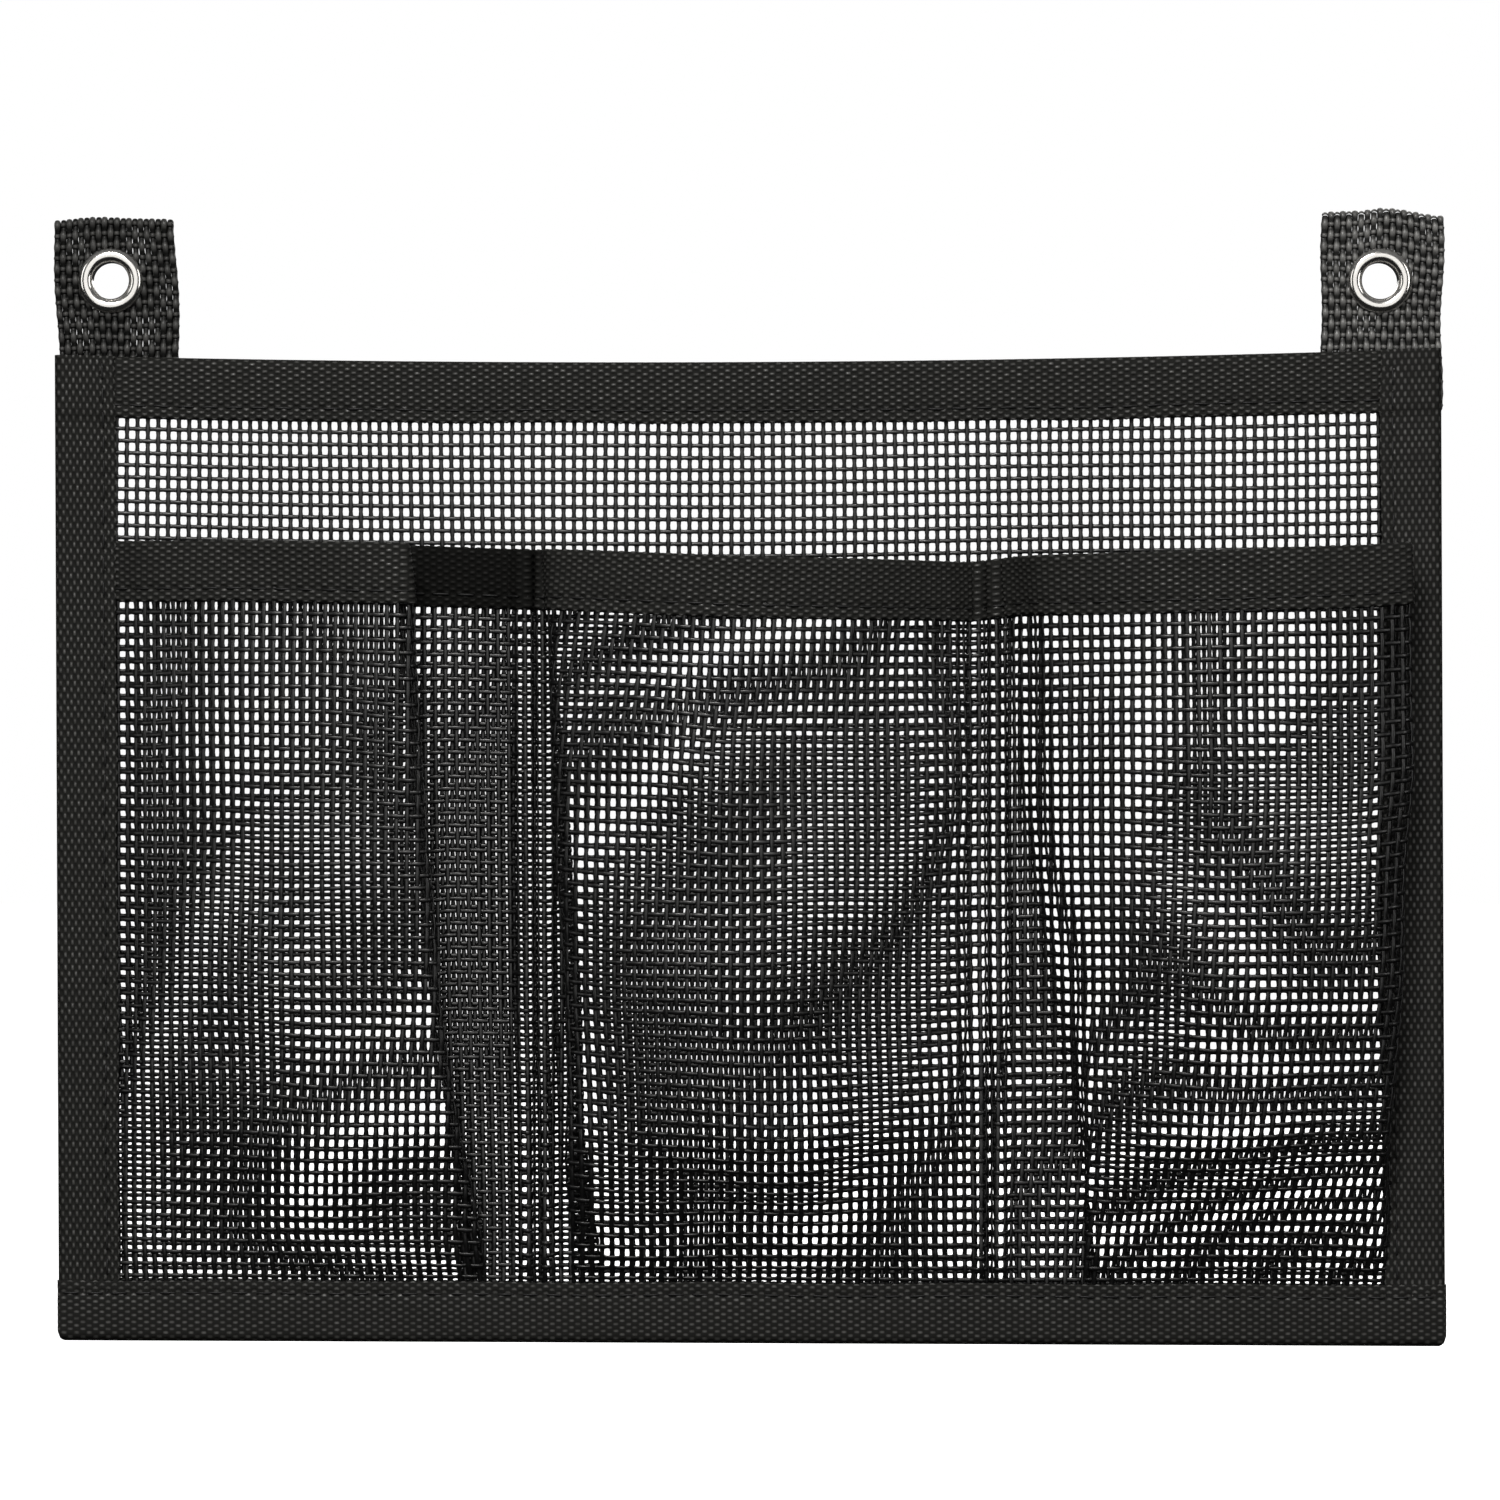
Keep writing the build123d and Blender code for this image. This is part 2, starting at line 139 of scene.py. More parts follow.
def tubes(centres, along, normals, half_width, half_height, sides):
    """Points and faces of many closed tubes at once.

    centres, along and normals are [tube, ring, 3]; half_width lies across the tube in the cloth's
    plane and half_height along the normal.
    """
    count, rings = centres.shape[:2]
    across = unit(np.cross(along, normals))
    angles = 2 * np.pi * np.arange(sides) / sides
    wide = np.broadcast_to(half_width, (count, rings))[..., None, None] * across[..., None, :]
    high = np.broadcast_to(half_height, (count, rings))[..., None, None] * normals[..., None, :]
    turn = angles[None, None, :, None]
    points = centres[..., None, :] + np.cos(turn) * wide + np.sin(turn) * high
    start = (np.arange(count) * rings * sides)[:, None, None]
    ring = (np.arange(rings - 1) * sides)[None, :, None]
    side = np.arange(sides)[None, None, :]
    near = start + ring + side
    near_next = start + ring + (side + 1) % sides
    walls = np.stack([near, near + sides, near_next + sides, near_next], axis=-1)
    caps = []
    for k in range(1, sides - 1, 2):
        first_cap = start[:, 0] + np.array([[0, k, k + 1, k + 2]])
        caps.append(first_cap)
        caps.append(first_cap[:, ::-1] + (rings - 1) * sides)
    return points.reshape(-1, 3), np.concatenate([walls.reshape(-1, 4), *caps])


def joined(parts):
    """One set of points and faces from several."""
    points, quads, total = [], [], 0
    for part_points, part_quads in parts:
        points.append(part_points)
        quads.append(part_quads + total)
        total += len(part_points)
    return np.concatenate(points), np.concatenate(quads)


def slab(centres, normals, front_depth, back_depth):
    """A closed cloth of two faces and a rim, over a grid of centres, with its depths each side."""
    rows, columns = centres.shape[:2]
    front = centres + normals * np.broadcast_to(front_depth, (rows, columns))[..., None]
    back = centres - normals * np.broadcast_to(back_depth, (rows, columns))[..., None]
    index = np.arange(rows * columns).reshape(rows, columns)
    quads = np.stack([index[:-1, :-1], index[1:, :-1], index[1:, 1:], index[:-1, 1:]], axis=-1)
    face = quads.reshape(-1, 4)
    other = rows * columns
    walls = []
    for edge, rim in enumerate((quads[:, 0], quads[-1], quads[:, -1], quads[0])):
        start, end = rim[:, edge], rim[:, (edge + 1) % 4]
        walls.append(np.stack([end, start, start + other, end + other], axis=-1))
    points = np.concatenate([front.reshape(-1, 3), back.reshape(-1, 3)])
    return points, np.concatenate([face, face[:, ::-1] + other, *walls])


class Cloth:
    """A curved sheet, held as a fine grid of points over (s, t), counted in cells of the weave."""

    def __init__(self, grid, columns, rows):
        self.grid = grid
        self.columns = columns
        self.rows = rows
        self.per_column = (grid.shape[0] - 1) / columns
        self.per_row = (grid.shape[1] - 1) / rows
        self.along_s = np.gradient(grid, axis=0) * self.per_column
        self.along_t = np.gradient(grid, axis=1) * self.per_row

    def read(self, field, s, t):
        """A field of the grid at (s, t), between its samples."""
        x = np.clip(np.asarray(s, float) * self.per_column, 0, field.shape[0] - 1.001)
        y = np.clip(np.asarray(t, float) * self.per_row, 0, field.shape[1] - 1.001)
        i, j = x.astype(int), y.astype(int)
        fx, fy = (x - i)[..., None], (y - j)[..., None]
        low = field[i, j] * (1 - fx) + field[i + 1, j] * fx
        high = field[i, j + 1] * (1 - fx) + field[i + 1, j + 1] * fx
        return low * (1 - fy) + high * fy

    def at(self, s, t):
        """Point, normal and the two directions of the yarns."""
        along_s = self.read(self.along_s, s, t)
        along_t = self.read(self.along_t, s, t)
        return self.read(self.grid, s, t), unit(np.cross(along_s, along_t)), along_s, along_t


# ---------------------------------------------------------------- procedural materials
# Painted shade: how bright the most shaded points are painted, as a share of their colour and gloss.
SHADED_LIGHT = 0.42


class Nodes:
    """A material's node tree, with short calls for the nodes that several materials share."""

    def __init__(self, name, colour, roughness, **sockets):
        self.material = bpy.data.materials.new(name)
        self.material.use_nodes = True
        self.material.diffuse_color = (*colour, 1)
        self.tree = self.material.node_tree
        self.shader = self.tree.nodes["Principled BSDF"]
        self.shader.inputs["Base Color"].default_value = (*colour, 1)
        self.shader.inputs["Roughness"].default_value = roughness
        for socket, value in sockets.items():
            self.shader.inputs[socket.replace("_", " ")].default_value = value
        self.position = self.tree.nodes.new("ShaderNodeTexCoord").outputs["Object"]

    def link(self, source, target):
        self.tree.links.new(source, target)

    def noise(self, scale, detail=3.0, stretch=(1, 1, 1)):
        """Noise of the object's own position, with its scale in features per metre."""
        mapping = self.tree.nodes.new("ShaderNodeMapping")
        mapping.inputs["Scale"].default_value = stretch
        self.link(self.position, mapping.inputs["Vector"])
        texture = self.tree.nodes.new("ShaderNodeTexNoise")
        texture.inputs["Scale"].default_value = scale
        texture.inputs["Detail"].default_value = detail
        self.link(mapping.outputs["Vector"], texture.inputs["Vector"])
        return texture.outputs["Fac"]

    def spread(self, value, low, high, start=0.3, end=0.7):
        """A value between start and end, spread over low to high."""
        ramp = self.tree.nodes.new("ShaderNodeMapRange")
        ramp.inputs["From Min"].default_value = start
        ramp.inputs["From Max"].default_value = end
        ramp.inputs["To Min"].default_value = low
        ramp.inputs["To Max"].default_value = high
        self.link(value, ramp.inputs["Value"])
        return ramp.outputs["Result"]

    def colours(self, value, dark, light, start=0.3, end=0.7, shade=None):
        """A colour between two, by a value, scaled darker by a painted shade factor where one is given.
        """
        ramp = self.tree.nodes.new("ShaderNodeValToRGB")
        ramp.color_ramp.elements[0].position = start
        ramp.color_ramp.elements[0].color = (*dark, 1)
        ramp.color_ramp.elements[1].position = end
        ramp.color_ramp.elements[1].color = (*light, 1)
        self.link(value, ramp.inputs["Fac"])
        colour = ramp.outputs["Color"]
        if shade is not None:
            shading = self.tree.nodes.new("ShaderNodeVectorMath")
            shading.operation = "SCALE"
            self.link(colour, shading.inputs["Vector"])
            self.link(shade, shading.inputs["Scale"])
            colour = shading.outputs["Vector"]
        self.link(colour, self.shader.inputs["Base Color"])

    def roughness(self, value, low, high):
        self.link(self.spread(value, low, high), self.shader.inputs["Roughness"])

    def maths(self, operation, first, second=None):
        """A value worked out from one or two others."""
        node = self.tree.nodes.new("ShaderNodeMath")
        node.operation = operation
        self.link(first, node.inputs[0])
        if second is not None:
            self.link(second, node.inputs[1])
        return node.outputs["Value"]

    def floats(self):
        """How high each point lies in the weave, 1 on its floats, and its painted shade factor, 1 in the
        open and lower where it is shaded.
        """
        lie = self.tree.nodes.new("ShaderNodeAttribute")
        lie.attribute_name = "lie"
        parts = self.tree.nodes.new("ShaderNodeSeparateXYZ")
        self.link(lie.outputs["Vector"], parts.inputs[0])
        waves = [self.maths("COSINE", parts.outputs[axis]) for axis in "XY"]
        return self.maths("MULTIPLY", *waves), self.spread(parts.outputs["Z"], 1, SHADED_LIGHT, 0, 1)

    def bumps(self, value, distance, strength):
        bump = self.tree.nodes.new("ShaderNodeBump")
        bump.inputs["Distance"].default_value = distance
        bump.inputs["Strength"].default_value = strength
        self.link(value, bump.inputs["Height"])
        self.link(bump.outputs["Normal"], self.shader.inputs["Normal"])


def coated_yarn():
    """Black vinyl-coated polyester yarn, glossy with a faint orange-peel."""
    made = Nodes("coated_yarn", (0.004, 0.004, 0.0041), 0.35, Specular_IOR_Level=0.52)
    made.roughness(made.noise(900), 0.26, 0.42)
    made.bumps(made.noise(2600, 2), 0.03 * MM, 0.35)
    return made.material


def polyester_tape():
    """Black woven polyester tape: its floats have a soft gloss and a painted highlight, and the gaps
    between them are painted dark as painted shade.
    """
    made = Nodes("polyester_tape", (0.011, 0.011, 0.0105), 0.55, Specular_IOR_Level=0.3)
    height, painted_shade_factor = made.floats()
    # Random patches times painted shade: noise varies the floats' painted highlight, and the painted
    # shade factor dims it where the tape is shaded.
    painted_shine_gain = made.maths("MULTIPLY", made.spread(made.noise(620, 3), 0.35, 1.0), painted_shade_factor)
    painted_shine = made.maths("MULTIPLY", made.spread(height, 0, 1, 0.1, 0.95), painted_shine_gain)
    # Painted highlight and painted shade: float tops are painted lighter, gaps darker, and shaded places
    # darker still.
    made.colours(painted_shine, (0.0115, 0.0115, 0.0106), (0.057, 0.0562, 0.0525), 0, 0.9, painted_shade_factor)
    made.link(made.spread(painted_shine, 0.8, 0.32, 0, 1), made.shader.inputs["Roughness"])
    # Painted shade on the gloss: less specular in the gaps and where the tape is shaded.
    gloss = made.maths("MULTIPLY", made.spread(painted_shine, 0.12, 0.8, 0, 1), painted_shade_factor)
    made.link(gloss, made.shader.inputs["Specular IOR Level"])
    made.bumps(height, 0.12 * MM, 0.8)
    return made.material


def webbing_yarn():
    """Black polypropylene webbing yarn: fine filaments with a soft gloss, its floats painted lighter as a
    painted highlight and darker by painted shade where it is shaded.
    """
    made = Nodes("webbing_yarn", (0.012, 0.012, 0.0115), 0.42, Specular_IOR_Level=0.6)
    height, painted_shade_factor = made.floats()
    painted_shine_gain = made.spread(made.noise(500, 3), 0.35, 1.0)
    painted_shine = made.maths("MULTIPLY", made.spread(height, 0, 1, 0.0, 1.0), painted_shine_gain)
    # Painted highlight: floats are painted lighter, and the whole colour is darkened by the painted shade
    # factor.
    made.colours(painted_shine, (0.018, 0.018, 0.0172), (0.16, 0.158, 0.152), 0, 0.9, painted_shade_factor)
    # Painted shade on the gloss: less specular where the yarn is shaded.
    made.link(made.spread(painted_shade_factor, 0.0, 0.6, 0, 1), made.shader.inputs["Specular IOR Level"])
    made.roughness(made.noise(1500), 0.3, 0.5)
    made.bumps(made.noise(5200, 2, (1, 1, 0.25)), 0.06 * MM, 0.6)
    return made.material


def sewing_thread():
    """Black twisted polyester thread."""
    made = Nodes("sewing_thread", (0.007, 0.007, 0.007), 0.5, Specular_IOR_Level=0.35)
    made.roughness(made.noise(2500), 0.4, 0.6)
    made.bumps(made.noise(5000, 2, (1, 1, 0.5)), 0.04 * MM, 0.6)
    return made.material


def plated_metal():
    """Polished nickel plate with fine wear."""
    made = Nodes("plated_metal", (0.78, 0.765, 0.735), 0.16, Metallic=1.0)
    made.colours(made.noise(300, 5), (0.74, 0.72, 0.69), (0.83, 0.815, 0.79))
    made.roughness(made.noise(1100, 6, (1, 1, 6)), 0.1, 0.26)
    made.bumps(made.noise(1800, 3), 0.01 * MM, 0.25)
    return made.material


def pale_floor():
    """A plain white studio floor."""
    made = Nodes("pale_floor", (0.9, 0.9, 0.9), 0.7, Specular_IOR_Level=0.1)
    made.roughness(made.noise(20), 0.6, 0.8)
    made.shader.inputs["Emission Color"].default_value = (1, 1, 1, 1)
    made.shader.inputs["Emission Strength"].default_value = 0.97
    return made.material


COATED_YARN = coated_yarn()
POLYESTER_TAPE = polyester_tape()
WEBBING_YARN = webbing_yarn()
SEWING_THREAD = sewing_thread()
PLATED_METAL = plated_metal()

# ---------------------------------------------------------------- how the panel hangs
SAG_MIDDLE = 2.2 * MM
LEAN_RIGHT = 0.76 * MM
FOOT_SWING = 0.9 * MM
EDGE_DRAW = 0.4 * MM
FOOT_TILT = 0.65 * MM


def hung(points):
    """Points of the panel as it hangs: its top edge sags, and its foot swings and tilts a little."""
    points = np.array(points, float)
    x = (points[..., 0] - PANEL_MIDDLE) / PANEL_HALF_WIDTH
    share = np.clip((points[..., 2] - PANEL_BOTTOM) / (PANEL_TOP - PANEL_BOTTOM), 0, 1.1)
    points[..., 2] += share * (LEAN_RIGHT * x - SAG_MIDDLE * (1 - x**2)) - (1 - share) * FOOT_TILT * x
    points[..., 0] += (0.5 - share) * FOOT_SWING - EDGE_DRAW * x
    return points


# ---------------------------------------------------------------- woven mesh
MESH_COLUMN = 2.22 * MM
MESH_ROW = 2.66 * MM
UPRIGHT_YARN = 0.85 * MM
LEVEL_YARN = 0.82 * MM
YARN_THICKNESS = 0.42 * MM
CROSSING_SPREAD = 1.32
CRIMP = 0.16 * MM
YARN_SIDES = 6
STRIP_FULLNESS = 1.06
GRID_PER_CELL = 4


def woven_mesh(cloth, fullness=1.0):
    """Every yarn of an open plain weave over a cloth: each passes over and under the ones it meets."""
    parts = []
    for upright in (True, False):
        here, there = (cloth.columns, cloth.rows) if upright else (cloth.rows, cloth.columns)
        lines = np.arange(here) + 0.5
        rings = np.arange(0, there + 0.25, 0.5)
        line, ring = np.meshgrid(lines, rings, indexing="ij")
        s, t = (line, ring) if upright else (ring, line)
        points, normals, along_s, along_t = cloth.at(s, t)
        wave = np.cos(np.pi * (s + t - 1))
        lift = CRIMP * wave * (1 if upright else -1)
        width = (UPRIGHT_YARN if upright else LEVEL_YARN) * (1 + (CROSSING_SPREAD - 1) * wave**2)
        along = unit(along_t if upright else along_s)
        centres = points + normals * lift[..., None]
        parts.append(tubes(centres, along, normals, fullness * width / 2, YARN_THICKNESS / 2, YARN_SIDES))
    return joined(parts)


def ripples(x, z, size, height, count):
    """A sum of gentle waves in random directions, about size apart and height high."""
    total = np.zeros_like(x)
    for _ in range(count):
        turn, phase, stretch = rng.uniform(0, 2 * np.pi), rng.uniform(0, 2 * np.pi), rng.uniform(0.7, 1.4)
        wave = 2 * np.pi / (size * stretch)
        total += np.sin(wave * (x * np.cos(turn) + z * np.sin(turn)) + phase)
    return total * height / count**0.5


# How far the back panel's columns have drifted sideways at a few places across it, and how much
# further they have drifted near its foot.
DRIFT_X = np.array([-110, -75, -40, 0]) * MM
DRIFTS = np.array([0.0, -0.9, -0.9, -0.4]) * MM
WEAVE_SKEW = 0.8 * MM
SKEW_LEVELS = (-150 * MM, -185 * MM)
SEWN_EDGE = 11 * MM


def back_cloth():
    """The flat back panel, a little rippled, with its rows bowed by the sag."""
    columns = round((MESH_HIGH.x - MESH_LOW.x) / MESH_COLUMN)
    rows = round((MESH_HIGH.z - MESH_LOW.z) / MESH_ROW)
    x, z = np.meshgrid(
        np.linspace(MESH_LOW.x, MESH_HIGH.x, columns * 2 + 1),
        np.linspace(MESH_LOW.z, MESH_HIGH.z, rows * 2 + 1),
        indexing="ij",
    )
    y = MESH_PLANE + ripples(x, z, 60 * MM, 0.25 * MM, 6)
    drift_x = ripples(x, z, 90 * MM, 0.18 * MM, 5) + np.interp(x, DRIFT_X, DRIFTS)
    drift_x += WEAVE_SKEW * smoothstep(*SKEW_LEVELS, z)
    drift_x *= smoothstep(0, SEWN_EDGE, x - MESH_LOW.x) * smoothstep(0, SEWN_EDGE, MESH_HIGH.x - x)
    drift_z = ripples(x, z, 90 * MM, 0.18 * MM, 5)
    return Cloth(hung(np.stack([x + drift_x, y, z + drift_z], axis=-1)), columns, rows)


# ---------------------------------------------------------------- pocket strip
# Each bay is drawn at a few heights, as shares of the way from its foot to its mouth. At each height
# a base is the x where a side wall leaves the flat strip, and a fold or crown is an (x, depth) pair
# on the front, with the depth measured forward from the flat strip. All are in millimetres.
HEIGHT_SHARES = (0.0, 0.07, 0.2, 0.4, 0.7, 1.0)
BAYS = (
    {
        "left_base": (-135, -135, -135, -135, -135, -135),
        "left_fold": ((-131, 0.4), (-131, 1.2), (-131, 2.2), (-131, 2.4), (-131, 2.5), (-131, 2.6)),
        "crown": ((-95, 0.8), (-97, 3.2), (-100, 8), (-101, 10.5), (-101, 11.5), (-101, 11.5)),
        "right_fold": ((-54.6, 1.4), (-56.4, 3.8), (-59.7, 9), (-64.6, 13.5), (-68.7, 15.5), (-71.4, 16)),
        "right_base": (-63.5, -63.5, -65, -69, -73, -76),
    },
    {
        "left_base": (-30, -31, -34, -35, -38, -43.5),
        "left_fold": ((-39, 1.4), (-39, 3.8), (-39.4, 9), (-40, 11.5), (-41.4, 11.5), (-42.2, 10)),
        "crown": ((2, 1.2), (2, 5), (1, 15), (1, 20), (1, 22), (1, 22)),
        "right_fold": ((46, 0.5), (46, 2), (45.5, 5), (45.5, 6), (45.5, 6.5), (45.5, 6.5)),
        "right_base": (50.4, 50.4, 50.4, 50.4, 50.4, 50.4),
    },
    {
        "left_base": (77, 76, 73, 66, 58, 54.6),
        "left_fold": ((71.5, 1.2), (71.5, 3.0), (73, 7), (73.5, 9), (68, 11), (62.5, 12)),
        "crown": ((108, 1.2), (108, 5), (106, 15), (105, 20), (103, 22), (103, 22)),
        "right_fold": ((136.8, 1.4), (137.4, 4.5), (138.8, 12), (141, 15), (143.3, 17), (143.3, 17)),
        "right_base": (139, 139, 138.5, 138, 138.5, 139),
    },
)
FOLD_SOFTNESS = 1.8 * MM
SECTION_STEP = 0.25 * MM
SEAM_RISE = 2.4 * MM
SEAM_REACH = 1.4 * MM
FOOT_TUCK = (FOOT_LEVEL - 1.5 * MM, FOOT_LEVEL + 5 * MM)
ROW_SOFTNESS = 3.0
MOUTH_SHARPNESS = 14
MOUTH_X = np.array([-136, -110, -72, -45, 0, 48, 58, 103, 132, 143]) * MM
MOUTH_RISE = np.array([1.6, 1.5, 0.7, -0.3, -2.4, -3.0, -1.9, -1.0, 0.2, 1.0]) * MM


def bay_section(bay, level, start_x, end_x):
    """Points (x, depth) across one bay at one height, with rounded folds."""

    def key(name):
        values = np.array(bay[name], float) * MM
        if values.ndim == 1:
            return np.array([np.interp(level, HEIGHT_SHARES, values), 0.0])
        return np.array([np.interp(level, HEIGHT_SHARES, values[:, k]) for k in range(2)])

    left, crown, right = key("left_fold"), key("crown"), key("right_fold")
    u = np.linspace(0, 1, 60)
    top = (crown[0] - left[0]) / (right[0] - left[0])
    lift = crown[1] - (left[1] + (right[1] - left[1]) * top)
    arch = np.where(u < top, u / top, (1 - u) / (1 - top))
    front = left + (right - left) * u[:, None]
    front[:, 1] += lift * (1 - (1 - arch) ** 2)
    corners = np.concatenate(
        [[[start_x, 0]], [key("left_base")], front, [key("right_base")], [[end_x, 0]]]
    )
    length = np.concatenate([[0], np.cumsum(np.linalg.norm(np.diff(corners, axis=0), axis=1))])
    steps = np.linspace(0, length[-1], max(8, round(length[-1] / SECTION_STEP)))
    fine = np.stack([np.interp(steps, length, corners[:, k]) for k in range(2)], axis=-1)
    section = blurred(fine, FOLD_SOFTNESS / SECTION_STEP, axis=0)
    for seam in {start_x, end_x} & set(DIVIDERS):
        away = np.abs(section[:, 0] - seam)
        rise = smoothstep(0, SEAM_REACH, away) * smoothstep(4 * SEAM_REACH, 1.5 * SEAM_REACH, away)
        section[:, 1] = np.maximum(section[:, 1], SEAM_RISE * rise)
    return section


def resampled(line, share):
    """Points at given shares of a line's length."""
    length = np.concatenate([[0], np.cumsum(np.linalg.norm(np.diff(line, axis=0), axis=1))])
    axes = [np.interp(share * length[-1], length, line[:, k]) for k in range(line.shape[1])]
    return np.stack(axes, axis=-1)


def strip_cloth():
    """The pocket strip as it is pleated and sewn: a flat foot, three bellies and an even mouth."""
    edges = [MESH_LOW.x, *DIVIDERS, MESH_HIGH.x]
    pitch = (MESH_HIGH.z - MESH_LOW.z) / round((MESH_HIGH.z - MESH_LOW.z) / MESH_ROW)
    foot = MESH_LOW.z + pitch / 2
    rows = round((STRIP_HIGH.z - foot) / pitch)
    mouth = foot + rows * pitch
    heights = np.linspace(foot, mouth, rows * GRID_PER_CELL + 1)
    levels = np.clip((heights - FOOT_LEVEL) / (mouth - FOOT_LEVEL), 0, 1)
    tucked = smoothstep(*FOOT_TUCK, heights)
    bays, total = [], 0
    for bay, start_x, end_x in zip(BAYS, edges, edges[1:]):
        lines = [bay_section(bay, level, start_x, end_x) for level in levels]
        lengths = [np.linalg.norm(np.diff(line, axis=0), axis=1).sum() for line in lines]
        columns = round(np.mean(lengths) / MESH_COLUMN)
        share = np.linspace(0, 1, columns * GRID_PER_CELL + 1)[0 if not bays else 1 :]
        bays.append(np.stack([resampled(line, share) for line in lines], axis=1))
        total += columns
    section = np.concatenate(bays)
    x = section[..., 0]
    depth = section[..., 1] * tucked
    hanging = hung(np.stack([x, depth, np.broadcast_to(heights, x.shape)], axis=-1))
    x, z = hanging[..., 0], hanging[..., 2]
    mouth_line = np.interp(x, MOUTH_X, MOUTH_RISE) + STRIP_HIGH.z
    z += (mouth_line - z[:, -1:]) * levels**MOUTH_SHARPNESS
    grid = blurred(np.stack([x, STRIP_PLANE - depth, z], axis=-1), ROW_SOFTNESS, axis=1)
    return Cloth(rippled(evened(grid)), total, rows)


def evened(grid):
    """The grid with its rows spaced evenly along each upright yarn, as the cloth's own rows are."""
    made = np.empty_like(grid)
    share = np.linspace(0, 1, grid.shape[1])
    for k, line in enumerate(grid):
        made[k] = resampled(line, share)
    return made


def rippled(grid):
    """The strip with small creases, none where it is sewn down or runs under a tape."""
    x, z = grid[..., 0], grid[..., 2]
    depth = STRIP_PLANE - grid[..., 1]
    loose = smoothstep(0.5 * MM, 6 * MM, depth)
    normals = unit(np.cross(np.gradient(grid, axis=0), np.gradient(grid, axis=1)))
    wave = ripples(x, z, 34 * MM, 0.5 * MM, 7) + ripples(x, z, 90 * MM, 0.6 * MM, 4)
    slack = loose * smoothstep(HEM_LOW.z + 2 * MM, HEM_LOW.z - 25 * MM, z)
    made = grid + normals * (wave * loose)[..., None] * 0.8
    made[..., 0] += ripples(x, z, 55 * MM, 0.35 * MM, 5) * slack
    made[..., 2] += ripples(x, z, 45 * MM, 0.45 * MM, 6) * slack
    return made


# ---------------------------------------------------------------- folded tapes
TAPE_THICKNESS = 0.55 * MM
TAPE_FOLD_RADIUS = (BINDING_BACK - BINDING_FRONT - TAPE_THICKNESS) / 2
TAPE_STEP_ALONG = 0.457 * MM
TAPE_STEP_ACROSS = 0.375 * MM
WEAVE_ALONG = 2.74 * MM
WEAVE_ACROSS = 1.5 * MM
WEAVE_RELIEF = 0.17 * MM
STITCH_INSET = 2.6 * MM
STITCH_PITCH = 5.3 * MM
STITCH_LENGTH = 3.4 * MM
STITCH_PULL = 0.4 * MM
STITCH_SPREAD = 0.75 * MM
STITCH_LIFT = 0.16 * MM
THREAD_RADIUS = 0.21 * MM
EDGE_SCALLOP = 0.09 * MM
EDGE_WANDER = 0.12 * MM
TAPE_CROWN = 0.18 * MM
TAPE_WAVE = 0.12 * MM
OVERLAP_RISE = 0.5 * MM
OVERLAP_SOFTNESS = 1.5 * MM


def lie(piece, first, second, shade=0.0):
    """Stores where every point of a piece lies in its weave, as two angles, and how much painted shade it
    gets.
    """
    places = np.stack(np.broadcast_arrays(first, second, shade), axis=-1).reshape(-1, 3)
    stored = piece.data.attributes.new("lie", "FLOAT_VECTOR", "POINT")
    stored.data.foreach_set("vector", places.astype(np.float32).ravel())


def tape_lie(piece, along, across, shade=0.0):
    """The same for the two faces of a tape, from the places along and across it, with its painted shade.
    """
    turns = 2 * np.pi * np.stack([along / WEAVE_ALONG, across / WEAVE_ACROSS])
    shades = np.broadcast_to(shade, along.shape).ravel()
    lie(piece, *np.tile(turns.reshape(2, -1), (1, 2)), np.tile(shades, 2))


def weave_relief(along, across):
    """The raised floats of a tape's plain weave, in staggered rows."""
    lengthwise = np.cos(2 * np.pi * along / WEAVE_ALONG)
    return WEAVE_RELIEF * lengthwise * np.cos(2 * np.pi * across / WEAVE_ACROSS)


def stitch_dent(along, across, lines):
    """How far the thread pulls the tape in, along lines sewn across its width."""
    nearest = np.min([np.abs(across - line) for line in lines], axis=0)
    pull = 0.6 + 0.4 * np.cos(2 * np.pi * along / STITCH_PITCH)
    return STITCH_PULL * pull * np.exp(-((nearest / STITCH_SPREAD) ** 2))


def fold_profile(across):
    """A folded tape's distance in from the panel's edge, its y and the two parts of its normal."""
    leaf = BINDING_WIDTH - TAPE_FOLD_RADIUS
    turn = np.clip((across - leaf) / TAPE_FOLD_RADIUS, 0, np.pi)
    beyond = across - leaf - np.pi * TAPE_FOLD_RADIUS
    inward = np.where(across < leaf, BINDING_WIDTH - across, TAPE_FOLD_RADIUS * (1 - np.sin(turn)))
    inward = np.where(beyond > 0, TAPE_FOLD_RADIUS + beyond, inward)
    y = (BINDING_FRONT + BINDING_BACK) / 2 - TAPE_FOLD_RADIUS * np.cos(turn)
    return inward + TAPE_THICKNESS / 2, y, -np.sin(turn), -np.cos(turn)


FOLDED_WIDTH = 2 * (BINDING_WIDTH - TAPE_FOLD_RADIUS) + math.pi * TAPE_FOLD_RADIUS


def grid_steps(length, step):
    """Even steps along a length, about step apart."""
    return np.linspace(0, length, round(length / step) + 1)


